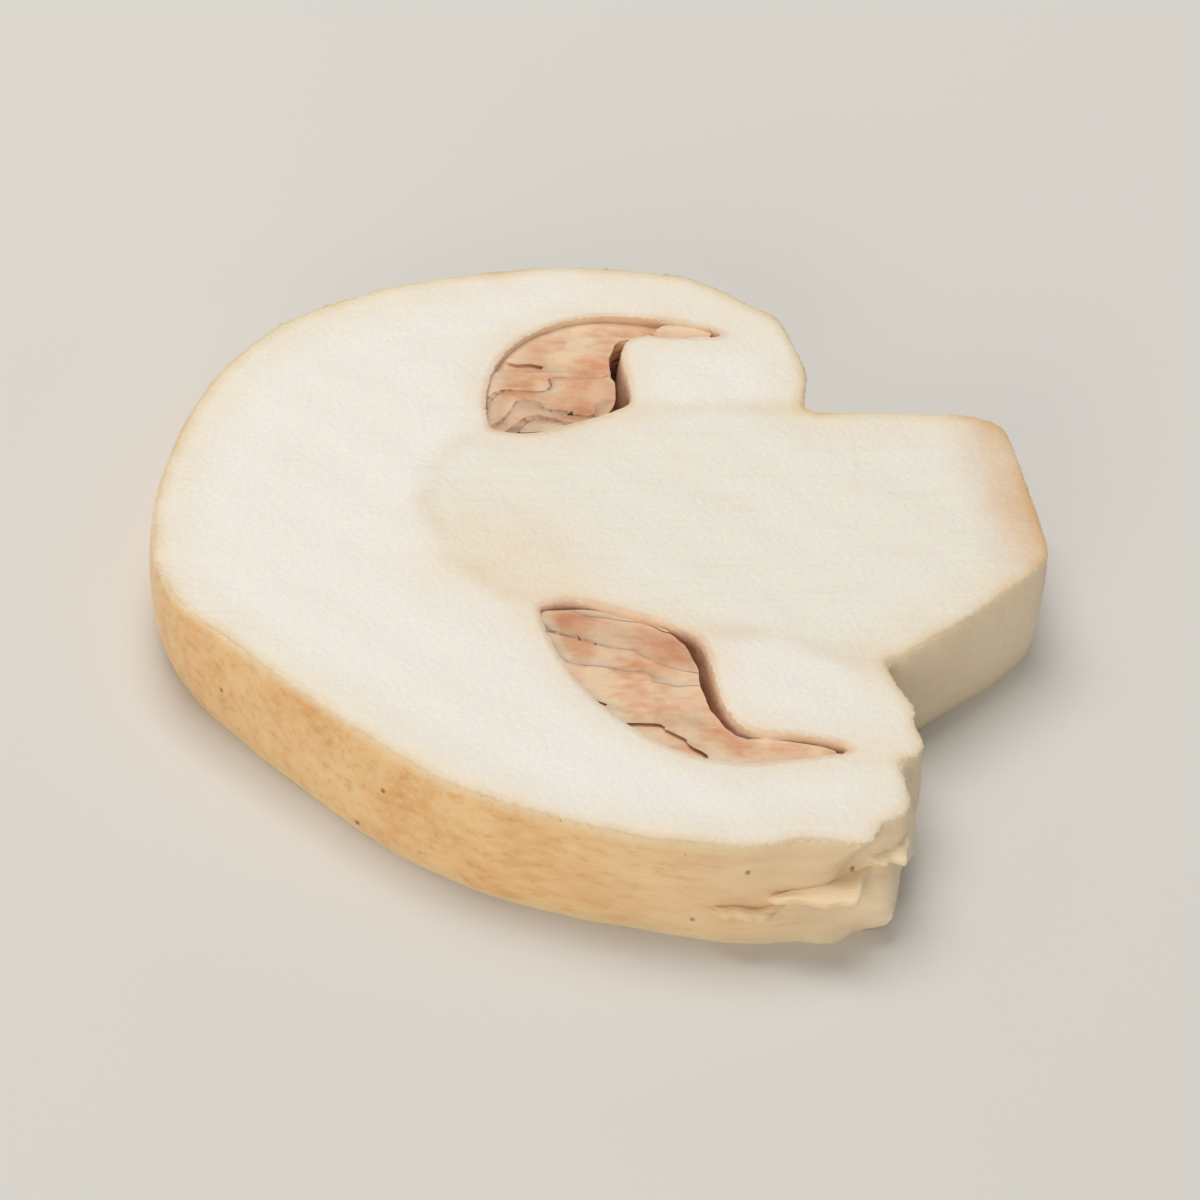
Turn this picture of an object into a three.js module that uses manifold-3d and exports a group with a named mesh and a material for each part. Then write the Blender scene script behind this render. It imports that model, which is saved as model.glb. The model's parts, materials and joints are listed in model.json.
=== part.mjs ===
// One lengthwise slice of a button mushroom, cut through its cap and stem, lying on its lower cut face.
//
// Millimetres, +Z up. +X runs along the mushroom, from the crown of its cap to the foot of its stem, and the
// origin is on the resting face, under the middle of the slice.
//
// The mushroom is grown whole and then sliced, as a real one is. Its half outline is turned round its own axis,
// a ring-shaped gill chamber is hollowed out under the cap, the gills are hung in the chamber as thin plates that
// stand radially round the stem, the whole is pushed a little out of round, and two flat cuts take the slice.
import * as THREE from "three";
import { mergeVertices } from "three/addons/utils/BufferGeometryUtils.js";
import Module from "manifold-3d";

// Driving dimensions.
const SLICE_THICKNESS = 6; // between the two cuts, as a wire slicer with quarter-inch spacing leaves it
const AXIS_HEIGHT = 4.2; // of the mushroom's axis above the lower cut
const LENGTH = 46.2; // crown of the cap to foot of the stem
const CAP_RADIUS = 22.4; // at its widest
const CAP_HEIGHT = 36.4; // crown to the rolled-in margin
const STEM_RADIUS = 8.8; // where the stem leaves the cap
const FOOT_ROUNDING = 2; // of the edge of the stem's trimmed foot
const CHAMBER_TOP = 19; // the roots of the gills nearest the stem, below the crown
const CHAMBER_RADIUS = 17.2; // the gill chamber at its widest
const VEIL_TOP = 26.8; // where the veil's tissue begins to close the chamber
const GILL_THICKNESS = 0.5;
const GILL_PITCH = THREE.MathUtils.degToRad(5); // angle from one gill to the next
const GILL_ROOT = 0.6; // how far a gill's upper edge is sunk in the cap's flesh

// How far this mushroom is from a turned one.
const CAP_SHIFT = 2.6; // how far the cap's rim lies towards -Y of the stem's middle
const CROWN_SHIFT = 3.4; // how far the crown leans towards -Y
const CROWN_DEPTH = 7.5; // how far below the crown that lean fades out
const MARGIN_SWELL = 2.6; // how much fuller the margin is on the -Y side
const MARGIN_START = 28; // where that fullness starts, below the crown
const STEM_FLARE = 1.25; // how much wider the stem is under the margin, on its -Y side
const STEM_TAPER = 0.085; // how much of its width that side loses with each millimetre after that
const SIDE_SLOPE = 0.1; // the cuts are this far from square to the mushroom's side
const AXIS_SLOPE = 0.055; // and this far from parallel to its axis, so the crown is cut nearer its middle

// Fineness of the faceted solid.
const TURN_STEPS = 80; // facets round the mushroom's axis
const OUTLINE_STEPS = 60; // facets along the half outline
const CHAMBER_STEPS = 34; // facets round the chamber's section
const GILL_STEPS = 20; // facets round one gill's outline

const wasm = await Module();
wasm.setup();

/** A closed three.js geometry as a solid that can be joined and cut. */
function solidOf(geometry) {
  const bare = new THREE.BufferGeometry().setAttribute("position", geometry.getAttribute("position"));
  if (geometry.index) bare.setIndex(geometry.index);
  const merged = mergeVertices(bare, 1e-4);
  return new wasm.Manifold(
    new wasm.Mesh({
      numProp: 3,
      vertProperties: new Float32Array(merged.getAttribute("position").array),
      triVerts: new Uint32Array(merged.index.array),
    }),
  );
}

/** A solid back as a three.js geometry, flat shaded. */
function geometryOf(solid) {
  const mesh = solid.getMesh();
  const places = new Float32Array(mesh.numVert * 3);
  for (let i = 0; i < mesh.numVert; i++) {
    places.set(mesh.vertProperties.subarray(i * mesh.numProp, i * mesh.numProp + 3), i * 3);
  }
  const indexed = new THREE.BufferGeometry()
    .setAttribute("position", new THREE.BufferAttribute(places, 3))
    .setIndex(new THREE.BufferAttribute(new Uint32Array(mesh.triVerts), 1));
  const geometry = indexed.toNonIndexed();
  geometry.computeVertexNormals();
  return geometry;
}

// Sections are drawn as (distance from the axis, distance below the crown).
const at = (radius, below) => new THREE.Vector2(radius, below);

/** Half the mushroom's outline, from the crown down to the foot of the stem. */
function halfOutline() {
  const dome = new THREE.SplineCurve([
    at(0, 0),
    at(0.18 * CAP_RADIUS, 0.02 * CAP_HEIGHT),
    at(0.38 * CAP_RADIUS, 0.085 * CAP_HEIGHT),
    at(0.58 * CAP_RADIUS, 0.17 * CAP_HEIGHT),
    at(0.79 * CAP_RADIUS, 0.305 * CAP_HEIGHT),
    at(0.93 * CAP_RADIUS, 0.48 * CAP_HEIGHT),
    at(CAP_RADIUS, 0.7 * CAP_HEIGHT),
    at(0.97 * CAP_RADIUS, 0.83 * CAP_HEIGHT),
    at(0.88 * CAP_RADIUS, 0.92 * CAP_HEIGHT),
    at(0.73 * CAP_RADIUS, 0.985 * CAP_HEIGHT),
    at(0.55 * CAP_RADIUS, CAP_HEIGHT),
    at(STEM_RADIUS + 0.3, CAP_HEIGHT - 0.8),
  ]);
  const stem = new THREE.SplineCurve([
    at(STEM_RADIUS, CAP_HEIGHT - 0.4),
    at(STEM_RADIUS, 0.5 * (CAP_HEIGHT + LENGTH)),
    at(0.97 * STEM_RADIUS, LENGTH - FOOT_ROUNDING),
    at(0.97 * STEM_RADIUS - 0.3 * FOOT_ROUNDING, LENGTH - 0.3 * FOOT_ROUNDING),
    at(0.97 * STEM_RADIUS - FOOT_ROUNDING, LENGTH - 0.05 * FOOT_ROUNDING),
    at(0, LENGTH),
  ]);
  const domeSteps = Math.round(OUTLINE_STEPS * 0.75);
  return [...dome.getSpacedPoints(domeSteps), ...stem.getSpacedPoints(OUTLINE_STEPS - domeSteps)];
}

/** The section of the gill chamber on one side of the stem: roof, tail under the margin, veil and stem. */
function chamberSection() {
  const section = new THREE.SplineCurve([
    at(7, CHAMBER_TOP - 0.2),
    at(9.4, CHAMBER_TOP),
    at(12.2, CHAMBER_TOP + 0.9),
    at(14.6, CHAMBER_TOP + 2.5),
    at(16.4, CHAMBER_TOP + 4.8),
    at(CHAMBER_RADIUS, CHAMBER_TOP + 7.4),
    at(CHAMBER_RADIUS - 0.1, CHAMBER_TOP + 9.6),
    at(16.5, CHAMBER_TOP + 11.7),
    at(15.4, CHAMBER_TOP + 13.1),
    at(15.1, CHAMBER_TOP + 11.2),
    at(15.1, VEIL_TOP + 1.2),
    at(13.6, VEIL_TOP),
    at(9.6, VEIL_TOP),
    at(8.6, VEIL_TOP - 1.2),
    at(7.6, VEIL_TOP - 3.4),
    at(6.5, VEIL_TOP - 6.2),
    at(7, CHAMBER_TOP - 0.2),
  ]);
  return section.getSpacedPoints(CHAMBER_STEPS);
}

/** Turns a section round the mushroom's axis, and lays that axis along +X. */
function turned(section) {
  const lathe = new THREE.LatheGeometry(section, TURN_STEPS);
  return solidOf(lathe.rotateZ(-Math.PI / 2));
}

/** One gill, a thin plate in the XY plane: its upper edge is sunk in the flesh, its free edge clears the stem. */
function gill() {
  const plate = new THREE.Shape(
    new THREE.SplineCurve([
      at(7.7, CHAMBER_TOP - GILL_ROOT),
      at(9.6, CHAMBER_TOP - GILL_ROOT),
      at(12.5, CHAMBER_TOP + 0.9 - GILL_ROOT),
      at(15.1, CHAMBER_TOP + 2.2),
      at(17, CHAMBER_TOP + 4.6),
      at(CHAMBER_RADIUS + GILL_ROOT, CHAMBER_TOP + 7.4),
      at(CHAMBER_RADIUS + GILL_ROOT - 0.1, CHAMBER_TOP + 9.6),
      at(16.6, CHAMBER_TOP + 11.2),
      at(15.9, CHAMBER_TOP + 10.6),
      at(15.3, CHAMBER_TOP + 8),
      at(13.4, CHAMBER_TOP + 6.7),
      at(10.6, CHAMBER_TOP + 6.2),
      at(8.9, CHAMBER_TOP + 4.2),
      at(7.8, CHAMBER_TOP + 1.6),
      at(7.7, CHAMBER_TOP - GILL_ROOT),
    ]).getSpacedPoints(GILL_STEPS),
  );
  const geometry = new THREE.ExtrudeGeometry(plate, { depth: GILL_THICKNESS, bevelEnabled: false, steps: 1 });
  return geometry.translate(0, 0, -GILL_THICKNESS / 2).rotateZ(-Math.PI / 2).rotateX(Math.PI);
}

/** The gills that stand where the slice is cut, on both sides of the stem. */
function gillsInSlice() {
  const gills = [];
  const innerEnd = 7.7; // radius of a gill's end beside the stem
  const lowest = -Math.asin(AXIS_HEIGHT / innerEnd);
  const highest = Math.asin((SLICE_THICKNESS - AXIS_HEIGHT) / innerEnd);
  for (let lift = lowest; lift <= highest; lift += GILL_PITCH) {
    for (const turn of [lift, Math.PI - lift]) gills.push(solidOf(gill().rotateX(turn)));
  }
  return gills;
}

/** Share of the stem's width that is left on its -Y side, at this distance below the crown. */
function stemShare(x) {
  const underCap = THREE.MathUtils.smoothstep(x, MARGIN_START, CAP_HEIGHT);
  const taper = STEM_TAPER * Math.max(0, x - CAP_HEIGHT);
  return 1 + underCap * (STEM_FLARE - 1) - taper;
}

/** Pushes a point of the turned mushroom to where it lies in the real, lopsided one. */
function outOfRound([x, y, z]) {
  const { clamp, lerp, smoothstep } = THREE.MathUtils;
  const outward = y / CAP_RADIUS;
  const lean = CROWN_SHIFT * clamp(1 - x / CROWN_DEPTH, 0, 1) ** 2;
  const swell = y < 0 ? MARGIN_SWELL * smoothstep(x, MARGIN_START, CAP_HEIGHT) * outward ** 2 : 0;
  const inStem = y < 0 ? 1 - smoothstep(-y, STEM_RADIUS, 2 * STEM_RADIUS) : 0;
  const widened = y * lerp(1, stemShare(x), inStem);
  return [
    x,
    widened - CAP_SHIFT * outward ** 2 - lean - swell + SIDE_SLOPE * z,
    z + AXIS_SLOPE * (LENGTH / 2 - x),
  ];
}

/** The space between the two cuts. */
function sliceRoom() {
  const reach = 3 * LENGTH;
  const box = new THREE.BoxGeometry(reach, reach, SLICE_THICKNESS);
  return solidOf(box.translate(0, 0, SLICE_THICKNESS / 2 - AXIS_HEIGHT));
}

function mushroomSlice() {
  let mushroom = turned(halfOutline()).subtract(turned(chamberSection()));
  for (const plate of gillsInSlice()) mushroom = mushroom.add(plate);
  const shaped = mushroom.warp((place) => {
    const moved = outOfRound(place);
    for (let i = 0; i < 3; i++) place[i] = moved[i];
  });
  const slice = shaped.intersect(sliceRoom());
  const { min, max } = slice.boundingBox();

  const flesh = new THREE.MeshStandardMaterial({ color: 0xece9df, roughness: 0.6, metalness: 0 });
  const mesh = new THREE.Mesh(geometryOf(slice), flesh);
  mesh.name = "mushroom_slice";
  mesh.position.set(-(min[0] + max[0]) / 2, -(min[1] + max[1]) / 2, -min[2]);
  return mesh;
}

const model = new THREE.Group();
model.add(mushroomSlice());

export default model;
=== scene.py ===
"""One lengthwise slice of a fresh button mushroom, lying on its lower cut face on a pale table.

The mushroom is grown whole from its half outline, hollowed by its ring of gill chamber, pushed out
of round as a real one is, and then sliced. The gills are cut a little lower than the flesh, because
they give under the blade. Shapes are worked out in millimetres, and the finished piece is brought
to metres.
"""
import json
import math
import random
from bisect import bisect_left

import bpy
from mathutils import Matrix, Quaternion, Vector, kdtree, noise

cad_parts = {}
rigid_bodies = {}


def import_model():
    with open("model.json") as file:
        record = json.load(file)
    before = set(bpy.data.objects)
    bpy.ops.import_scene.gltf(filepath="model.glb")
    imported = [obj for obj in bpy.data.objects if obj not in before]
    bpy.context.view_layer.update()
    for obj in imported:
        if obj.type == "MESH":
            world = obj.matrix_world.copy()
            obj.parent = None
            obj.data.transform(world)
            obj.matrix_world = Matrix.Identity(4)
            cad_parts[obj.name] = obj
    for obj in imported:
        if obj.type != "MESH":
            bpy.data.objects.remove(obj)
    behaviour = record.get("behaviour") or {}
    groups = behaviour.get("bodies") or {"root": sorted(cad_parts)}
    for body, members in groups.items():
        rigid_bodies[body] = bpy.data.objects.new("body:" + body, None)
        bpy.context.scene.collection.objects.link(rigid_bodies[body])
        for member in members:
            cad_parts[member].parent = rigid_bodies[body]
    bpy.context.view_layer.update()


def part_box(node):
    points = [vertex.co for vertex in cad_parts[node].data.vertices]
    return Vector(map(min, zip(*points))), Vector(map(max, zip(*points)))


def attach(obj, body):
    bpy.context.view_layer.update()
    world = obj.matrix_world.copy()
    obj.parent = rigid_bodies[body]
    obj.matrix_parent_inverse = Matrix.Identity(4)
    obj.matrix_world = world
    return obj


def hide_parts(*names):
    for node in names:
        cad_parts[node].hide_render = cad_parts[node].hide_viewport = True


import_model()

NODE = "mushroom_slice"
MM = 0.001
LOW, HIGH = (Vector(corner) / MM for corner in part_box(NODE))

# The slice, in millimetres. The mushroom's axis lies along X, and "below" is the distance below the
# crown of the cap, along that axis.
LENGTH = HIGH.x - LOW.x
THICKNESS = HIGH.z - LOW.z
AXIS_HEIGHT = 0.7 * THICKNESS  # of the mushroom's axis above the lower cut
CAP_RADIUS = 22.4
CAP_HEIGHT = 36.4  # crown to the rolled-in margin
STEM_RADIUS = 8.8
FOOT_ROUNDING = 2.0
CHAMBER_TOP = 19.0  # below the crown
CHAMBER_RADIUS = 17.2
VEIL_TOP = 26.8

# How far this mushroom is from a turned one.
CAP_SHIFT = 2.6  # how far the cap's rim lies towards -Y of the stem's middle
CROWN_SHIFT = 3.4  # how far the crown leans towards -Y
CROWN_DEPTH = 7.5  # how far below the crown that lean fades out
MARGIN_SWELL = 2.6  # how much fuller the margin is on the -Y side
MARGIN_START = 28.0  # where that fullness starts, below the crown
STEM_FLARE = 1.25  # how much wider the stem is under the margin, on its -Y side
STEM_TAPER = 0.085  # how much of its width that side loses with each millimetre after that
SIDE_SLOPE = 0.1  # the cuts are this far from square to the mushroom's side
AXIS_SLOPE = 0.055  # and this far from parallel to its axis

# How the blade leaves the upper cut face.
CUT_DIP = 0.16  # depth of its broad hollows
FLESH_RIPPLE = 0.03
GILL_RIPPLE = 0.5  # the gills are limp, so they are cut far less evenly
GILL_GIVE = 0.05  # how far below the flesh the highest of them are cut

# The gills.
GILL_THICKNESS = 0.3
GILL_PITCH = math.radians(1.7)  # angle from one gill to the next
GILL_INNER_END = 6.9  # radius of a gill's end beside the stem
GILL_FRILL = 0.12  # how far the free edge wanders in the gill's own plane
GILL_WAVE = 0.22  # how far it wanders out of that plane

# The rags of torn veil on the margin: where each one's root is, and its own shape.
RAG_THICKNESS = 0.42
RAG_ROOT = 0.5  # how deep a rag is sunk in the flesh
RAGS = (
    {"below": 30.2, "height": -0.9, "length": 6.4, "width": 1.9, "curl": 0.1, "seed": 1},
    {"below": 33.6, "height": 0.2, "length": 2.8, "width": 1.3, "curl": -0.3, "seed": 5},
    {"below": 26.2, "height": -2.1, "length": 4.2, "width": 1.5, "curl": 0.15, "seed": 9},
)

# Fineness of the mesh.
TURN_STEPS = 180  # round the mushroom's axis
OUTLINE_STEPS = 120
DOME_SHARE = 0.72  # of those steps, the rest being the stem's
CHAMBER_STEPS = 84
CURVE_PIECES = 24  # straight pieces between two points of a curve
CUT_CELL = 0.38  # of the two cut faces
GILL_ACROSS = 30
GILL_DOWN = 8
WALL_POINTS = 600  # of the chamber's wall, when the nearest is looked for
STEM_POINTS = 200  # of the stem's edge, likewise


def linear(hex_colour):
    """An sRGB hex colour as the linear RGBA that a shader takes."""
    channels = [int(hex_colour[i : i + 2], 16) / 255 for i in (1, 3, 5)]
    return [c / 12.92 if c <= 0.04045 else ((c + 0.055) / 1.055) ** 2.4 for c in channels] + [1.0]


def ease(value, start, end):
    """0 before start, 1 after end, and a smooth rise between them."""
    share = min(1.0, max(0.0, (value - start) / (end - start)))
    return share * share * (3 - 2 * share)


def curve_through(points, count):
    """count points along a smooth curve through the given ones, evenly spread along its length."""
    dense = []
    last = len(points) - 1
    for i in range(last):
        around = [Vector(points[min(last, max(0, k))]) for k in (i - 1, i, i + 1, i + 2)]
        before, start, end, after = around
        for step in range(CURVE_PIECES):
            t = step / CURVE_PIECES
            dense.append(
                0.5
                * (
                    2 * start
                    + (end - before) * t
                    + (2 * before - 5 * start + 4 * end - after) * t**2
                    + (3 * start - before - 3 * end + after) * t**3
                )
            )
    dense.append(Vector(points[last]))
    lengths = [0.0]
    for a, b in zip(dense, dense[1:]):
        lengths.append(lengths[-1] + (b - a).length)
    spread = []
    k = 0
    for i in range(count):
        goal = lengths[-1] * i / (count - 1)
        while k < len(dense) - 2 and lengths[k + 1] < goal:
            k += 1
        span = lengths[k + 1] - lengths[k]
        spread.append(dense[k].lerp(dense[k + 1], (goal - lengths[k]) / span if span else 0))
    return spread


# --- Growing the mushroom ----------------------------------------------------------------------


def half_outline():
    """Half the mushroom's outline as (radius, below), from the crown to the foot of the stem."""
    dome = [
        (0, 0),
        (0.18 * CAP_RADIUS, 0.02 * CAP_HEIGHT),
        (0.38 * CAP_RADIUS, 0.085 * CAP_HEIGHT),
        (0.58 * CAP_RADIUS, 0.17 * CAP_HEIGHT),
        (0.79 * CAP_RADIUS, 0.305 * CAP_HEIGHT),
        (0.93 * CAP_RADIUS, 0.48 * CAP_HEIGHT),
        (CAP_RADIUS, 0.7 * CAP_HEIGHT),
        (0.97 * CAP_RADIUS, 0.83 * CAP_HEIGHT),
        (0.88 * CAP_RADIUS, 0.92 * CAP_HEIGHT),
        (0.73 * CAP_RADIUS, 0.985 * CAP_HEIGHT),
        (0.55 * CAP_RADIUS, CAP_HEIGHT),
        (STEM_RADIUS + 0.3, CAP_HEIGHT - 0.8),
    ]
    foot = 0.97 * STEM_RADIUS
    stem = [
        (STEM_RADIUS, CAP_HEIGHT - 0.4),
        (STEM_RADIUS, 0.5 * (CAP_HEIGHT + LENGTH)),
        (foot, LENGTH - FOOT_ROUNDING),
        (foot - 0.3 * FOOT_ROUNDING, LENGTH - 0.3 * FOOT_ROUNDING),
        (foot - FOOT_ROUNDING, LENGTH - 0.05 * FOOT_ROUNDING),
        (0, LENGTH),
    ]
    dome_steps = round(OUTLINE_STEPS * DOME_SHARE)
    stem_steps = OUTLINE_STEPS - dome_steps
    return curve_through(dome, dome_steps) + curve_through(stem, stem_steps)


def chamber_section():
    """The section of the gill chamber: roof, tail under the margin, veil and the stem's side."""
    corners = [
        (7, CHAMBER_TOP - 0.2),
        (9.4, CHAMBER_TOP),
        (12.2, CHAMBER_TOP + 0.9),
        (14.6, CHAMBER_TOP + 2.5),
        (16.4, CHAMBER_TOP + 4.8),
        (CHAMBER_RADIUS, CHAMBER_TOP + 7.4),
        (CHAMBER_RADIUS - 0.1, CHAMBER_TOP + 9.6),
        (16.5, CHAMBER_TOP + 11.9),
        (15.5, CHAMBER_TOP + 13.6),
        (15.3, CHAMBER_TOP + 11.6),
        (15.4, VEIL_TOP + 1.2),
        (13.8, VEIL_TOP),
        (9.6, VEIL_TOP - 0.2),
        (8.6, VEIL_TOP - 1.2),
        (7.6, VEIL_TOP - 3.4),
        (6.6, VEIL_TOP - 6.2),
        (7, CHAMBER_TOP - 0.2),
    ]
    return curve_through(corners, CHAMBER_STEPS)[:-1]


def stem_share(below):
    """Share of the stem's width that is left on its -Y side."""
    under_cap = ease(below, MARGIN_START, CAP_HEIGHT)
    return 1 + under_cap * (STEM_FLARE - 1) - STEM_TAPER * max(0, below - CAP_HEIGHT)


def out_of_round(place):
    """Where a point of the turned mushroom lies in the real, lopsided one."""
    x, y, z = place
    outward = y / CAP_RADIUS
    lean = CROWN_SHIFT * max(0.0, 1 - max(0.0, x) / CROWN_DEPTH) ** 2
    swell = MARGIN_SWELL * ease(x, MARGIN_START, CAP_HEIGHT) * outward**2 if y < 0 else 0
    in_stem = 1 - ease(-y, STEM_RADIUS, 2 * STEM_RADIUS) if y < 0 else 0
    widened = y * (1 + in_stem * (stem_share(x) - 1))
    return Vector(
        (
            x,
            widened - CAP_SHIFT * outward**2 - lean - swell + SIDE_SLOPE * z,
            z + AXIS_SLOPE * (LENGTH / 2 - x),
        )
    )


def uneven_skin(place):
    """Pushes a point of the skin in or out: a little on the dome, more on the cottony margin."""
    out = Vector((0, place.y, place.z))
    near_axis = 0.5
    if out.length < near_axis:
        return place
    cotton = ease(place.x, 0.72 * CAP_HEIGHT, 0.92 * CAP_HEIGHT)
    cotton *= 1 if place.y < 0 else 0.4  # the far side of the margin is smoother
    cotton *= ease(out.length, STEM_RADIUS + 0.2, STEM_RADIUS + 2.5)
    swell = 0.3 * noise.noise(place / 7) + 0.1 * noise.noise(place / 1.9 + Vector((9, 4, 2)))
    lumps = 2.1 * noise.noise(place / 3 + Vector((3, 8, 5))) + 0.55 * noise.noise(place / 1.3)
    direction = out.normalized().lerp(Vector((1, 0, 0)), 0.5 * cotton)
    inset = 0.12  # keeps the swellings within the mushroom's own size
    return place + direction * (swell + cotton * lumps - inset)


# --- Mesh tools --------------------------------------------------------------------------------


def only(piece):
    """Makes this object the only one selected, and the active one."""
    bpy.ops.object.select_all(action="DESELECT")
    piece.select_set(True)
    bpy.context.view_layer.objects.active = piece


def wire(name, points, closed):
    """An object of plain edges through these points."""
    count = len(points)
    edges = [(i, (i + 1) % count) for i in range(count if closed else count - 1)]
    mesh = bpy.data.meshes.new(name)
    mesh.from_pydata(points, edges, [])
    piece = bpy.data.objects.new(name, mesh)
    bpy.context.scene.collection.objects.link(piece)
    return piece


def turned(name, section, closed):
    """A section of (radius, below) points spun round the mushroom's axis, which lies along +X."""
    piece = wire(name, [(below, radius, 0) for radius, below in section], closed)
    only(piece)
    bpy.ops.object.mode_set(mode="EDIT")
    bpy.ops.mesh.select_all(action="SELECT")
    bpy.ops.mesh.spin(steps=TURN_STEPS, angle=math.tau, center=(0, 0, 0), axis=(1, 0, 0))
    bpy.ops.mesh.select_all(action="SELECT")
    bpy.ops.mesh.remove_doubles(threshold=1e-4)
    bpy.ops.mesh.normals_make_consistent(inside=False)
    bpy.ops.object.mode_set(mode="OBJECT")
    return piece


def move_points(piece, move):
    """Moves every point of a mesh to where this function puts it."""
    for vertex in piece.data.vertices:
        vertex.co = move(vertex.co.copy())


def finish_with(piece, kind, **settings):
    """Adds a modifier and applies it."""
    only(piece)
    modifier = piece.modifiers.new(kind.lower(), kind)
    for name, value in settings.items():
        setattr(modifier, name, value)
    bpy.ops.object.modifier_apply(modifier=modifier.name)


def turn_outwards(piece):
    """Points all the faces of a closed mesh outwards."""
    only(piece)
    bpy.ops.object.mode_set(mode="EDIT")
    bpy.ops.mesh.select_all(action="SELECT")
    bpy.ops.mesh.normals_make_consistent(inside=False)
    bpy.ops.object.mode_set(mode="OBJECT")


def combine(piece, tool, operation):
    """Joins another solid to this one, or cuts this one with it. The other solid is used up."""
    finish_with(piece, "BOOLEAN", operation=operation, solver="MANIFOLD", object=tool)
    bpy.data.objects.remove(tool)


# --- The flesh ---------------------------------------------------------------------------------


def slice_room(name, lowered, ripple_depth):
    """The space between the two cuts. The upper one waves, as a blade leaves it."""
    reach = 1.2 * LENGTH
    middle_y = -2  # the cap's own middle, so that the room takes in all of it
    floor = -AXIS_HEIGHT
    top = THICKNESS - AXIS_HEIGHT - lowered
    cells = round(reach / CUT_CELL)
    bpy.ops.object.select_all(action="DESELECT")
    bpy.ops.mesh.primitive_grid_add(
        x_subdivisions=cells,
        y_subdivisions=cells,
        size=reach,
        location=(LENGTH / 2, middle_y, floor),
    )
    room = bpy.context.object
    room.name = name
    bpy.ops.object.transform_apply(location=True, rotation=True, scale=True)
    bpy.ops.object.mode_set(mode="EDIT")
    bpy.ops.mesh.select_all(action="SELECT")
    bpy.ops.mesh.extrude_region_move(TRANSFORM_OT_translate={"value": (0, 0, top - floor)})
    bpy.ops.object.mode_set(mode="OBJECT")
    turn_outwards(room)

    def waved(place):
        if place.z > 0:
            dip = 0.5 + 0.5 * noise.noise(Vector((place.x / 9, place.y / 7, 2)))
            drawn = Vector((place.x / 3.2 + place.y / 9, place.y / 1.1, 7))
            ripple = 0.5 + 0.5 * noise.noise(drawn)
            place.z -= CUT_DIP * dip + ripple_depth * ripple
        return place

    move_points(room, waved)
    return room


def flesh():
    """Cap, stem and veil, with the chamber hollowed out, between the two cuts."""
    body = turned("flesh", half_outline(), closed=False)
    move_points(body, uneven_skin)
    combine(body, turned("chamber", chamber_section(), closed=True), "DIFFERENCE")
    move_points(body, out_of_round)
    combine(body, slice_room("slice_room", 0, FLESH_RIPPLE), "INTERSECT")
    return body


def torn_rag(body, below, height, length, width, curl, seed):
    """A small limp rag of torn veil that hangs on the margin's side, rooted in the flesh."""
    outside = Vector((below, -2 * CAP_RADIUS, height))
    _, root, out, _ = body.ray_cast(outside, Vector((0, 1, 0)))
    out = Vector((out.x, out.y, 0)).normalized()
    along = Vector((-out.y, out.x, 0))
    bpy.ops.object.select_all(action="DESELECT")
    bpy.ops.mesh.primitive_grid_add(x_subdivisions=9, y_subdivisions=5, size=2)
    rag = bpy.context.object
    rag.name = "torn_rag"

    def hung(place):
        free = (place.y + 1) / 2  # 0 at the root, 1 at the torn edge
        ragged = 1 + 0.7 * noise.noise(Vector((place.x * 1.9, seed, 0)))
        reach = width * free * ragged * math.sqrt(max(0.0, 1 - 0.8 * place.x**2))
        side = 0.5 * length * place.x * (1 - 0.3 * free * free)
        crumple = 0.25 * noise.noise(Vector((place.x * 1.5, free * 2, seed)))
        slope = 0.25 * side / length
        lift = curl * width * math.sin(1.8 * free) + crumple + slope
        return root + along * side + out * (reach - RAG_ROOT) + Vector((0, 0, lift))

    move_points(rag, hung)
    finish_with(rag, "SOLIDIFY", thickness=RAG_THICKNESS, offset=0)
    finish_with(rag, "SUBSURF", levels=2, render_levels=2)
    turn_outwards(rag)
    return rag


# --- The gills ---------------------------------------------------------------------------------


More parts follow.
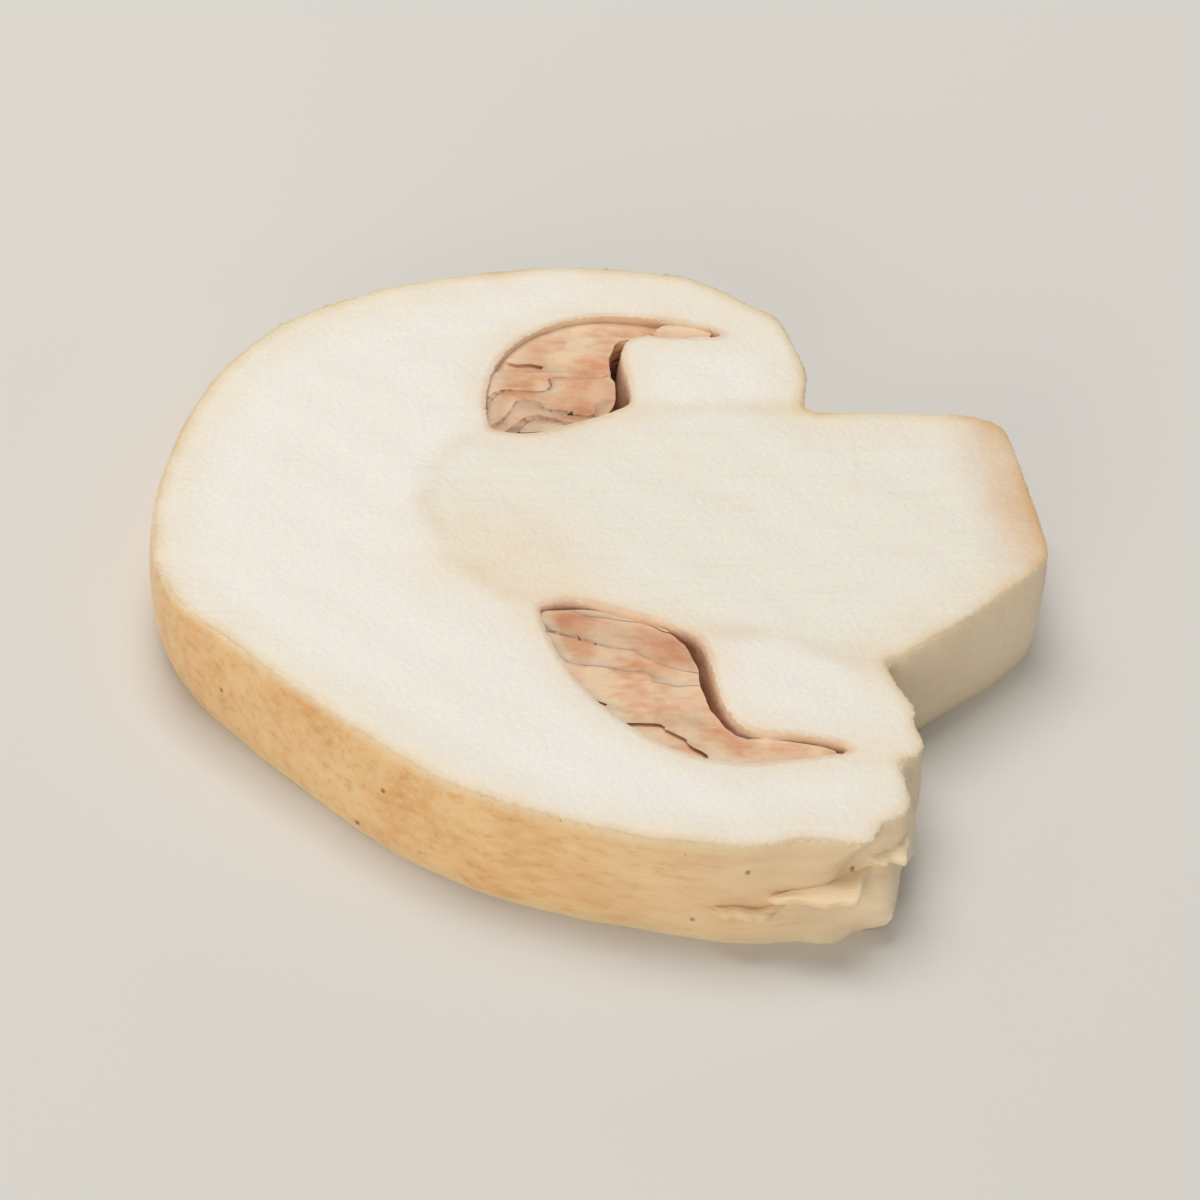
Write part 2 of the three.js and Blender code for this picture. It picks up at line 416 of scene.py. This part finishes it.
def gill():
    """One gill: a thin wavy plate in the XY plane, from its root in the flesh to its free edge."""
    roof = curve_through(
        [
            (GILL_INNER_END, CHAMBER_TOP - 0.6),
            (9.4, CHAMBER_TOP - 0.55),
            (12.4, CHAMBER_TOP + 0.4),
            (15, CHAMBER_TOP + 2.1),
            (16.9, CHAMBER_TOP + 4.5),
            (CHAMBER_RADIUS + 0.5, CHAMBER_TOP + 7.4),
            (CHAMBER_RADIUS + 0.4, CHAMBER_TOP + 9.8),
            (16.4, CHAMBER_TOP + 13.2),
        ],
        GILL_ACROSS,
    )
    free = curve_through(
        [
            (GILL_INNER_END, CHAMBER_TOP + 0.9),
            (7.05, CHAMBER_TOP + 3),
            (7.9, CHAMBER_TOP + 5.3),
            (9.6, CHAMBER_TOP + 6.8),
            (13.3, CHAMBER_TOP + 7.1),
            (15.3, CHAMBER_TOP + 8.2),
            (15.45, CHAMBER_TOP + 10),
            (15.5, CHAMBER_TOP + 12.8),
        ],
        GILL_ACROSS,
    )
    bpy.ops.object.select_all(action="DESELECT")
    bpy.ops.mesh.primitive_grid_add(
        x_subdivisions=GILL_ACROSS - 1, y_subdivisions=GILL_DOWN, size=2
    )
    plate = bpy.context.object
    plate.name = "gill"
    drift = Vector((6.9, 3, 8))

    def shaped(place):
        across = round((place.x + 1) / 2 * (GILL_ACROSS - 1))
        down = (place.y + 1) / 2
        radius, below = roof[across].lerp(free[across], down)
        frill = GILL_FRILL * noise.noise(Vector((radius * 1.6, below * 1.6, 1)) + drift)
        wave = GILL_WAVE * down * noise.noise(Vector((radius / 1.9, below / 1.9, 5)) + drift)
        return Vector((below + down**3 * frill, radius, wave))

    move_points(plate, shaped)
    only(plate)
    bpy.ops.object.mode_set(mode="EDIT")
    bpy.ops.mesh.select_all(action="SELECT")
    bpy.ops.mesh.remove_doubles(threshold=1e-3)
    bpy.ops.object.mode_set(mode="OBJECT")
    finish_with(plate, "SOLIDIFY", thickness=GILL_THICKNESS, offset=0)
    bpy.ops.object.mode_set(mode="EDIT")
    bpy.ops.mesh.select_all(action="SELECT")
    bpy.ops.mesh.quads_convert_to_tris()
    bpy.ops.object.mode_set(mode="OBJECT")
    turn_outwards(plate)
    return plate


def gills():
    """All the gills that stand where the slice is cut, on both sides of the stem."""
    draw = random.Random(11)
    pattern = gill()
    lowest = -math.asin((AXIS_HEIGHT + 1.2) / (GILL_INNER_END + 1))
    highest = math.asin((THICKNESS - AXIS_HEIGHT + 0.2) / GILL_INNER_END)
    count = math.floor((highest - lowest) / GILL_PITCH)
    copies = []
    for side in (1, -1):
        for i in range(count + 1):
            lift = lowest + i * GILL_PITCH + draw.uniform(-0.3, 0.3) * GILL_PITCH
            turn = lift if side > 0 else math.pi - lift
            copy = bpy.data.objects.new("gill", pattern.data.copy())
            bpy.context.scene.collection.objects.link(copy)
            copy.data.transform(Matrix.Rotation(turn, 4, "X"))
            copies.append(copy)
    bpy.data.objects.remove(pattern)
    bpy.ops.object.select_all(action="DESELECT")
    for copy in copies:
        copy.select_set(True)
    bpy.context.view_layer.objects.active = copies[0]
    bpy.ops.object.join()
    fan = bpy.context.object
    move_points(fan, out_of_round)
    combine(fan, slice_room("gill_room", GILL_GIVE, GILL_RIPPLE), "INTERSECT")
    return fan


# --- The slice ---------------------------------------------------------------------------------


def grown_place(place):
    """Undoes out_of_round, step by step: where a point of the slice grew, as (radius, below)."""
    z = place.z - AXIS_SLOPE * (LENGTH / 2 - place.x)
    y = place.y
    steps, stride = 8, 0.85
    for _ in range(steps):
        y += stride * (place.y - out_of_round((place.x, y, z)).y)
    return Vector((math.hypot(y, z), place.x))


def tree_of(points):
    """A search tree of points, to find how far the nearest one is."""
    tree = kdtree.KDTree(len(points))
    for i, point in enumerate(points):
        tree.insert(point, i)
    tree.balance()
    return tree


def inside(point, outline):
    """Whether a 2D point lies inside a closed outline."""
    crossed = False
    for a, b in zip(outline, outline[1:] + outline[:1]):
        if (a.y > point.y) != (b.y > point.y):
            if point.x < (b.x - a.x) * (point.y - a.y) / (b.y - a.y) + a.x:
                crossed = not crossed
    return crossed


FLESH, SKIN, GILL = range(3)  # the order of the piece's materials


def sort_faces(piece):
    """Gives each face its material: cut flesh, outer skin or gill."""
    section = chamber_section()
    wall_line = curve_through([*section, section[0]], WALL_POINTS)
    wall = tree_of([point.to_3d() for point in wall_line])
    on_wall = 0.1
    level = 0.6  # a cut face's normal is at least this upright
    top = THICKNESS - AXIS_HEIGHT
    deepest = CUT_DIP + FLESH_RIPPLE + 0.01
    for face in piece.data.polygons:
        centre = face.center
        grown = grown_place(centre)
        near_wall = wall.find(grown.to_3d())[2] < on_wall
        upper_cut = face.normal.z > level and centre.z > top - deepest
        lower_cut = face.normal.z < -level and centre.z < 0.02 - AXIS_HEIGHT
        in_chamber = near_wall or inside(grown, section)
        # The chamber's walls take the gill's finish. Beside the stem that is gill tissue running
        # on; on the veil's inner face its pink-brown is painted shade, for the dark gap between
        # veil and gills.
        if in_chamber and not upper_cut and not (near_wall and lower_cut):
            face.material_index = GILL
        elif upper_cut or lower_cut:
            face.material_index = FLESH
        else:
            face.material_index = SKIN


def border(piece, kind):
    """Points where faces of this kind meet a cut face."""
    mesh = piece.data
    kinds = [set() for _ in mesh.vertices]
    for face in mesh.polygons:
        for i in face.vertices:
            kinds[i].add(face.material_index)
    return [vertex.co for vertex in mesh.vertices if kinds[vertex.index] >= {kind, FLESH}]


def stem_line():
    """The line in the cut face where the stem's tissue meets the cap's, as (radius, below)."""
    corners = [
        (0, 14.2),
        (3.4, 14.9),
        (6.2, 17.2),
        (7, 19),
        (6.8, 21),
        (8, 24),
        (8.9, 27),
        (8.9, 36.2),
    ]
    return curve_through(corners, STEM_POINTS)


def note_distances(piece):
    """Writes how far each point is, in millimetres, from skin, gill pocket and the stem's edge.

    The last is positive inside the stem and negative outside it."""
    mesh = piece.data
    line = stem_line()
    belows = [point.y for point in line]
    trees = {"rim": tree_of(border(piece, SKIN)), "pocket": tree_of(border(piece, GILL))}
    stem_tree = tree_of([point.to_3d() for point in line])
    names = ("rim", "pocket", "stem")
    notes = {name: mesh.attributes.new(name, "FLOAT", "POINT").data for name in names}
    farthest = 9.0  # past this the exact distance has no use
    for vertex in mesh.vertices:
        for name, tree in trees.items():
            notes[name][vertex.index].value = min(farthest, tree.find(vertex.co)[2])
        grown = grown_place(vertex.co)
        gap = stem_tree.find(grown.to_3d())[2]
        beside = min(bisect_left(belows, grown.y), len(line) - 1)
        under_arc = grown.y > belows[0]
        within = under_arc and (grown.x < line[beside].x or grown.y > CAP_HEIGHT)
        notes["stem"][vertex.index].value = gap if within else -gap


def drop_crumbs(piece):
    """Takes away scraps of gill that the cuts left loose."""
    only(piece)
    bpy.ops.object.mode_set(mode="EDIT")
    bpy.ops.mesh.select_all(action="SELECT")
    bpy.ops.mesh.separate(type="LOOSE")
    bpy.ops.object.mode_set(mode="OBJECT")
    parts = sorted(bpy.context.selected_objects, key=lambda part: len(part.data.vertices))
    for crumb in parts[:-1]:
        bpy.data.objects.remove(crumb)
    return parts[-1]


def soften_edges(piece):
    """Rounds the upper edges that the blade left, round the slice and round the gill pockets."""
    edges = border(piece, SKIN) + border(piece, GILL)
    edge = {tuple(point) for point in edges if point.z > 0}
    only(piece)
    bpy.ops.object.mode_set(mode="EDIT")
    bpy.ops.mesh.select_mode(type="VERT")
    bpy.ops.mesh.select_all(action="DESELECT")
    bpy.ops.object.mode_set(mode="OBJECT")
    for vertex in piece.data.vertices:
        vertex.select = tuple(vertex.co) in edge
    bpy.ops.object.mode_set(mode="EDIT")
    bpy.ops.mesh.select_more()
    bpy.ops.mesh.vertices_smooth(factor=0.5, repeat=3)
    bpy.ops.object.mode_set(mode="OBJECT")


def mushroom_slice():
    """The finished slice: flesh, rags and gills as one closed mesh in three finishes."""
    piece = flesh()
    bpy.context.view_layer.update()
    for rag in RAGS:
        combine(piece, torn_rag(piece, **rag), "UNION")
    combine(piece, gills(), "UNION")
    piece = drop_crumbs(piece)
    piece.name = "sliced_mushroom"
    piece.data.name = "sliced_mushroom"
    piece.data.materials.clear()
    for finish in (cut_flesh(), cap_skin(), gill_tissue()):
        piece.data.materials.append(finish)
    sort_faces(piece)
    note_distances(piece)
    soften_edges(piece)
    corners = [piece.matrix_world @ Vector(corner) for corner in piece.bound_box]
    middle_y = (min(c.y for c in corners) + max(c.y for c in corners)) / 2
    resting = Vector((-LENGTH / 2, -middle_y, AXIS_HEIGHT))
    piece.data.transform(Matrix.Scale(MM, 4) @ Matrix.Translation(resting))
    only(piece)
    bpy.ops.object.shade_smooth_by_angle(angle=math.radians(38))
    return piece


# --- Materials ---------------------------------------------------------------------------------


def add(tree, kind, inputs=None, out=0, **settings):
    """Adds a node and gives one of its outputs. An input is an output, a value or a hex colour."""
    node = tree.nodes.new(kind)
    for name, value in settings.items():
        setattr(node, name, value)
    for socket, value in (inputs or {}).items():
        if isinstance(value, bpy.types.NodeSocket):
            tree.links.new(value, node.inputs[socket])
        elif isinstance(value, str):
            node.inputs[socket].default_value = linear(value)
        else:
            node.inputs[socket].default_value = value
    return node.outputs[out]


def started(name):
    """A new material with its shader and its object coordinates."""
    material = bpy.data.materials.new(name)
    material.use_nodes = True
    tree = material.node_tree
    shader = tree.nodes["Principled BSDF"]
    return material, tree, shader, add(tree, "ShaderNodeTexCoord", out="Object")


def per(millimetres):
    """The scale of a texture whose features are this large, in object coordinates."""
    return 1 / (millimetres * MM)


def finish_shader(tree, shader, colour, roughness, height, depth, values):
    """Puts a colour, a roughness and a height, whose depth is in millimetres, on a shader."""
    relief = {"Strength": 1.0, "Distance": depth * MM, "Height": height}
    normal = add(tree, "ShaderNodeBump", relief, out="Normal")
    tree.links.new(colour, shader.inputs["Base Color"])
    tree.links.new(roughness, shader.inputs["Roughness"])
    tree.links.new(normal, shader.inputs["Normal"])
    for name, value in values.items():
        shader.inputs[name].default_value = value


def stained(tree, colour, stains):
    """Lays stains over a colour. Each is how much of it shows, from 0 to 1, and its own colour."""
    for amount, tone in stains:
        layers = {0: amount, 6: colour, 7: tone}
        colour = add(tree, "ShaderNodeMix", layers, out=2, data_type="RGBA")
    return colour


def browned_edges(tree, colour, patchy):
    """Flesh browns first where it was cut through, beside the skin and the gill pockets."""
    rim = add(tree, "ShaderNodeAttribute", out="Fac", attribute_name="rim")
    pocket = add(tree, "ShaderNodeAttribute", out="Fac", attribute_name="pocket")
    evened = 1.6  # brings the patches, which average one half, back up
    for distance, reach, amount, tone in (
        (rim, 3.5, 0.55, "#EBD9B8"),
        (rim, 0.9, 0.7, "#DFC49A"),
        (rim, 0.25, 0.5, "#C2A47C"),
        (pocket, 2.6, 0.5, "#EFD6B6"),
        (pocket, 0.5, 0.6, "#DCB48C"),
    ):
        fading = {"Value": distance, "From Max": reach, "To Min": amount, "To Max": 0.0}
        near = add(tree, "ShaderNodeMapRange", fading, interpolation_type="SMOOTHSTEP")
        near = add(tree, "ShaderNodeMath", {0: near, 1: patchy}, operation="MULTIPLY")
        near = add(
            tree, "ShaderNodeMath", {0: near, 1: evened}, operation="MULTIPLY", use_clamp=True
        )
        colour = stained(tree, colour, [(near, tone)])
    return colour


def cut_flesh():
    """Fresh mushroom flesh, cut by a wire: felted white threads, cream where older, faintly moist.

    It is soft and matt to the eye and lets light in, runs in fibres along the stem, and browns
    first beside the skin and the gills. Its threads are far finer than could show, so the felt is
    drawn at a third of a millimetre and the fibres at half of one."""
    material, tree, shader, place = started("cut_flesh")
    stem = add(tree, "ShaderNodeAttribute", out="Fac", attribute_name="stem")
    cloud = add(tree, "ShaderNodeTexNoise", {"Vector": place, "Scale": per(9), "Detail": 3.0})
    patchy = add(tree, "ShaderNodeTexNoise", {"Vector": place, "Scale": per(3.2), "Detail": 3.0})
    felt = add(tree, "ShaderNodeTexNoise", {"Vector": place, "Scale": per(0.35), "Detail": 4.0})
    along = add(tree, "ShaderNodeMapping", {"Vector": place, "Scale": (0.09, 1, 0.5)})
    fibre = add(
        tree,
        "ShaderNodeTexNoise",
        {"Vector": along, "Scale": per(0.55), "Detail": 5.0, "Roughness": 0.6},
    )

    # The stem's tissue is creamier than the cap's, with darker fibres.
    in_stem = add(
        tree,
        "ShaderNodeMapRange",
        {"Value": stem, "From Min": -0.4, "From Max": 0.6},
        interpolation_type="SMOOTHSTEP",
    )
    creamy = add(tree, "ShaderNodeMath", {0: in_stem, 1: 0.55}, operation="MULTIPLY")
    streak = add(
        tree,
        "ShaderNodeMapRange",
        {"Value": fibre, "From Min": 0.5, "From Max": 0.8, "To Max": 0.22},
    )
    streak = add(tree, "ShaderNodeMath", {0: streak, 1: in_stem}, operation="MULTIPLY")

    # A faint broken line parts stem from cap.
    broken = add(
        tree,
        "ShaderNodeMapRange",
        {"Value": patchy, "From Min": 0.28, "From Max": 0.7, "To Max": 0.4},
    )
    line = add(tree, "ShaderNodeMath", {0: stem}, operation="ABSOLUTE")
    line = add(
        tree,
        "ShaderNodeMapRange",
        {"Value": line, "From Min": 0.05, "From Max": 1.1, "To Min": 1.0, "To Max": 0.0},
        interpolation_type="SMOOTHSTEP",
    )
    line = add(tree, "ShaderNodeMath", {0: line, 1: broken}, operation="MULTIPLY")

    # The top of the stem, between the roots of the gills, is warmer.
    centre = Vector((CHAMBER_TOP - 1.5 - LENGTH / 2, 0, THICKNESS)) * MM
    apex = add(
        tree, "ShaderNodeVectorMath", {0: place, 1: centre}, out="Value", operation="DISTANCE"
    )
    apex = add(
        tree,
        "ShaderNodeMapRange",
        {"Value": apex, "From Min": MM, "From Max": 7.5 * MM, "To Min": 0.7, "To Max": 0.0},
        interpolation_type="SMOOTHSTEP",
    )
    apex = add(tree, "ShaderNodeMath", {0: apex, 1: patchy}, operation="MULTIPLY")

    # The trimmed foot has dried tan.
    x = add(tree, "ShaderNodeSeparateXYZ", {0: place})
    foot = add(
        tree,
        "ShaderNodeMapRange",
        {"Value": x, "From Min": (LENGTH / 2 - 4.5) * MM, "From Max": LENGTH / 2 * MM},
        interpolation_type="SMOOTHSTEP",
    )
    foot = add(tree, "ShaderNodeMath", {0: foot, 1: patchy}, operation="MULTIPLY")

    white = {0: cloud, 6: "#F3F1EA", 7: "#EDE8DD"}
    colour = add(tree, "ShaderNodeMix", white, out=2, data_type="RGBA")
    stains = [(creamy, "#EAE4D5"), (streak, "#DFCFB0"), (line, "#DCC49C"), (apex, "#EBCFA4")]
    colour = stained(tree, colour, stains)
    colour = browned_edges(tree, colour, patchy)
    colour = stained(tree, colour, [(foot, "#D3A26C")])

    roughness = add(tree, "ShaderNodeMapRange", {"Value": patchy, "To Min": 0.42, "To Max": 0.66})
    blade = add(
        tree,
        "ShaderNodeTexWave",
        {"Vector": place, "Scale": per(9), "Distortion": 2.5, "Detail": 3.0, "Detail Scale": 1.5},
        out="Fac",
        bands_direction="DIAGONAL",
    )
    height = add(tree, "ShaderNodeMath", {0: fibre, 1: felt}, operation="ADD")
    height = add(tree, "ShaderNodeMath", {0: blade, 1: 0.5, 2: height}, operation="MULTIPLY_ADD")
    values = {
        "IOR": 1.4,
        "Subsurface Weight": 0.4,
        "Subsurface Radius": (1.0, 0.72, 0.45),
        "Subsurface Scale": 1.4 * MM,
        "Coat Weight": 0.08,
        "Coat Roughness": 0.3,
    }
    finish_shader(tree, shader, colour, roughness, height, 0.06, values)
    return material


def cap_skin():
    """The cap's thin dry skin: tan fibrils pressed flat over cream, with a few brown specks.

    White cotton hides it at the margin and on the stem. It is soft and leathery to the eye, with a
    dull sheen where it is smooth. Its fibrils are drawn half a millimetre wide, coarser than real
    ones, so that they show."""
    material, tree, shader, place = started("cap_skin")
    rim = add(tree, "ShaderNodeAttribute", out="Fac", attribute_name="rim")
    mottle = add(tree, "ShaderNodeTexNoise", {"Vector": place, "Scale": per(3.5), "Detail": 5.0})
    along = add(tree, "ShaderNodeMapping", {"Vector": place, "Scale": (0.16, 1, 1)})
    fibril = add(
        tree,
        "ShaderNodeTexNoise",
        {"Vector": along, "Scale": per(0.5), "Detail": 5.0, "Roughness": 0.65},
    )
    tan = add(tree, "ShaderNodeMapRange", {"Value": mottle, "From Min": 0.38, "From Max": 0.72})
    pale_thread = add(
        tree,
        "ShaderNodeMapRange",
        {"Value": fibril, "From Min": 0.48, "From Max": 0.72, "To Max": 0.6},
    )
    dark_thread = add(
        tree,
        "ShaderNodeMapRange",
        {"Value": fibril, "From Min": 0.46, "From Max": 0.3, "To Max": 0.5},
    )

    # The cotton starts at a wandering line, part of the way down the cap.
    x = add(tree, "ShaderNodeSeparateXYZ", {0: place})
    wandering = {0: mottle, 1: 9 * MM, 2: x}
    wander = add(tree, "ShaderNodeMath", wandering, operation="MULTIPLY_ADD")
    crown = 4.5 - LENGTH / 2  # 9 mm times the average of the mottling, from the crown
    cotton = add(
        tree,
        "ShaderNodeMapRange",
        {
            "Value": wander,
            "From Min": (0.45 * CAP_HEIGHT + crown) * MM,
            "From Max": (0.95 * CAP_HEIGHT + crown) * MM,
            "To Max": 0.74,
        },
    )
    lip = add(
        tree,
        "ShaderNodeMapRange",
        {"Value": rim, "From Max": 0.5, "To Min": 0.65, "To Max": 0.0},
    )
    spotting = {"Vector": place, "Scale": per(2.6)}
    spots = add(tree, "ShaderNodeTexVoronoi", spotting, out="Distance")
    speck = add(
        tree,
        "ShaderNodeMapRange",
        {"Value": spots, "From Min": 0.03, "From Max": 0.08, "To Min": 0.8, "To Max": 0.0},
    )

    golden = {0: tan, 6: "#F0C992", 7: "#E3AC6C"}
    colour = add(tree, "ShaderNodeMix", golden, out=2, data_type="RGBA")
    stains = [
        (pale_thread, "#F0D7AB"),
        (dark_thread, "#CD945A"),
        (cotton, "#EFE2C6"),
        (lip, "#F0DDB8"),
        (speck, "#5E3A1E"),
    ]
    colour = stained(tree, colour, stains)

    roughness = add(tree, "ShaderNodeMapRange", {"Value": fibril, "To Min": 0.45, "To Max": 0.75})
    height = add(tree, "ShaderNodeMath", {0: mottle, 1: 0.6, 2: fibril}, operation="MULTIPLY_ADD")
    values = {
        "IOR": 1.42,
        "Subsurface Weight": 0.25,
        "Subsurface Radius": (1.0, 0.6, 0.35),
        "Subsurface Scale": 0.8 * MM,
        "Sheen Weight": 0.15,
        "Sheen Roughness": 0.5,
    }
    finish_shader(tree, shader, colour, roughness, height, 0.12, values)
    return material


def gill_tissue():
    """Young gills, pink-brown and limp: thin velvety sheets with pale ribs.

    They fade to cream where they meet the flesh. Beside the stem they darken to a painted shade,
    for the shadowed gap between the gills and the stem."""
    material, tree, shader, place = started("gill_tissue")
    pocket = add(tree, "ShaderNodeAttribute", out="Fac", attribute_name="pocket")
    stem = add(tree, "ShaderNodeAttribute", out="Fac", attribute_name="stem")
    mottle = add(tree, "ShaderNodeTexNoise", {"Vector": place, "Scale": per(2.4), "Detail": 4.0})
    along = add(tree, "ShaderNodeMapping", {"Vector": place, "Scale": (0.4, 1, 1)})
    rib = add(tree, "ShaderNodeTexNoise", {"Vector": along, "Scale": per(0.4), "Detail": 4.0})
    tone = add(tree, "ShaderNodeMapRange", {"Value": mottle, "From Min": 0.38, "From Max": 0.62})
    crest = add(
        tree,
        "ShaderNodeMapRange",
        {"Value": rib, "From Min": 0.5, "From Max": 0.72, "To Max": 0.45},
    )
    furrow = add(
        tree,
        "ShaderNodeMapRange",
        {"Value": rib, "From Min": 0.46, "From Max": 0.32, "To Max": 0.3},
    )
    # Painted shade: the gills darken towards the stem, in the gap beside it where shade falls.
    beside = add(
        tree,
        "ShaderNodeMapRange",
        {"Value": stem, "From Min": -3.6, "From Max": -0.8, "To Max": 0.95},
        interpolation_type="SMOOTHSTEP",
    )
    beside = add(tree, "ShaderNodeMath", {0: beside, 1: mottle}, operation="MULTIPLY")
    root = add(
        tree,
        "ShaderNodeMapRange",
        {"Value": pocket, "From Max": 0.9, "To Min": 0.8, "To Max": 0.0},
    )
    pink_brown = {0: tone, 6: "#F0CBA9", 7: "#DC9F78"}
    colour = add(tree, "ShaderNodeMix", pink_brown, out=2, data_type="RGBA")
    stains = [(crest, "#F3D6B8"), (furrow, "#CB8C64"), (beside, "#C07C56"), (root, "#F2DBBD")]
    colour = stained(tree, colour, stains)
    roughness = add(tree, "ShaderNodeMapRange", {"Value": mottle, "To Min": 0.5, "To Max": 0.75})
    values = {
        "IOR": 1.4,
        "Subsurface Weight": 0.3,
        "Subsurface Radius": (1.0, 0.5, 0.3),
        "Subsurface Scale": 0.7 * MM,
    }
    finish_shader(tree, shader, colour, roughness, rib, 0.08, values)
    return material


def pale_table():
    """Painted board with a faint eggshell finish: pale, even and plain."""
    material, tree, shader, place = started("pale_table")
    shade = add(tree, "ShaderNodeTexNoise", {"Vector": place, "Scale": per(60), "Detail": 2.0})
    paint = {0: shade, 6: "#DCDAD5", 7: "#D8D5CF"}
    colour = add(tree, "ShaderNodeMix", paint, out=2, data_type="RGBA")
    tree.links.new(colour, shader.inputs["Base Color"])
    shader.inputs["Roughness"].default_value = 0.7
    return material


# --- Table, light and camera -------------------------------------------------------------------


def table():
    """A plain pale top, far larger than what the frame takes in."""
    bpy.ops.object.select_all(action="DESELECT")
    bpy.ops.mesh.primitive_plane_add(size=4, location=(0, 0, 0))
    top = bpy.context.object
    top.name = "table"
    top.data.materials.append(pale_table())


def soft_light(name, place, size, power, colour):
    """A square soft box that faces the slice."""
    light = bpy.data.lights.new(name, "AREA")
    light.size = size
    light.energy = power
    light.color = linear(colour)[:3]
    lamp = bpy.data.objects.new(name, light)
    lamp.location = place
    lamp.rotation_euler = (-Vector(place)).to_track_quat("-Z", "Y").to_euler()
    bpy.context.scene.collection.objects.link(lamp)


def studio():
    """Two soft boxes and a pale room."""
    soft_light("overhead", place=(-0.12, 0.22, 0.55), size=0.4, power=2.4, colour="#FFFDFA")
    soft_light("front", place=(-0.36, -0.6, 0.2), size=0.4, power=2.0, colour="#FFFAF2")
    world = bpy.data.worlds.new("room")
    world.use_nodes = True
    background = world.node_tree.nodes["Background"]
    background.inputs["Color"].default_value = linear("#FFFDFA")
    background.inputs["Strength"].default_value = 0.35
    bpy.context.scene.world = world


VIEW_AZIMUTH = math.radians(-18.5)
VIEW_ELEVATION = math.radians(39.6)
VIEW_ROLL = math.radians(12)
VIEW_DISTANCE = 0.4
VIEW_WIDTH = 0.06  # of what the frame takes in, at the slice
SENSOR_WIDTH = 36  # in millimetres, as the lens is


def camera():
    """A camera that looks down on the slice from its left and front, and leans a little."""
    lens = bpy.data.cameras.new("camera")
    lens.sensor_width = SENSOR_WIDTH
    lens.lens = SENSOR_WIDTH * VIEW_DISTANCE / VIEW_WIDTH
    lens.clip_start = 0.01
    eye = bpy.data.objects.new("camera", lens)
    back = Vector(
        (
            math.sin(VIEW_AZIMUTH) * math.cos(VIEW_ELEVATION),
            -math.cos(VIEW_AZIMUTH) * math.cos(VIEW_ELEVATION),
            math.sin(VIEW_ELEVATION),
        )
    )
    middle = Vector((0, 0, THICKNESS / 2 * MM))
    eye.location = middle + back * VIEW_DISTANCE
    facing = (-back).to_track_quat("-Z", "Y") @ Quaternion((0, 0, 1), VIEW_ROLL)
    eye.rotation_euler = facing.to_euler()
    bpy.context.scene.collection.objects.link(eye)
    bpy.context.scene.camera = eye


bpy.context.scene.view_settings.view_transform = "Standard"
camera()
studio()
table()
piece = mushroom_slice()
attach(piece, "root")
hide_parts(NODE)
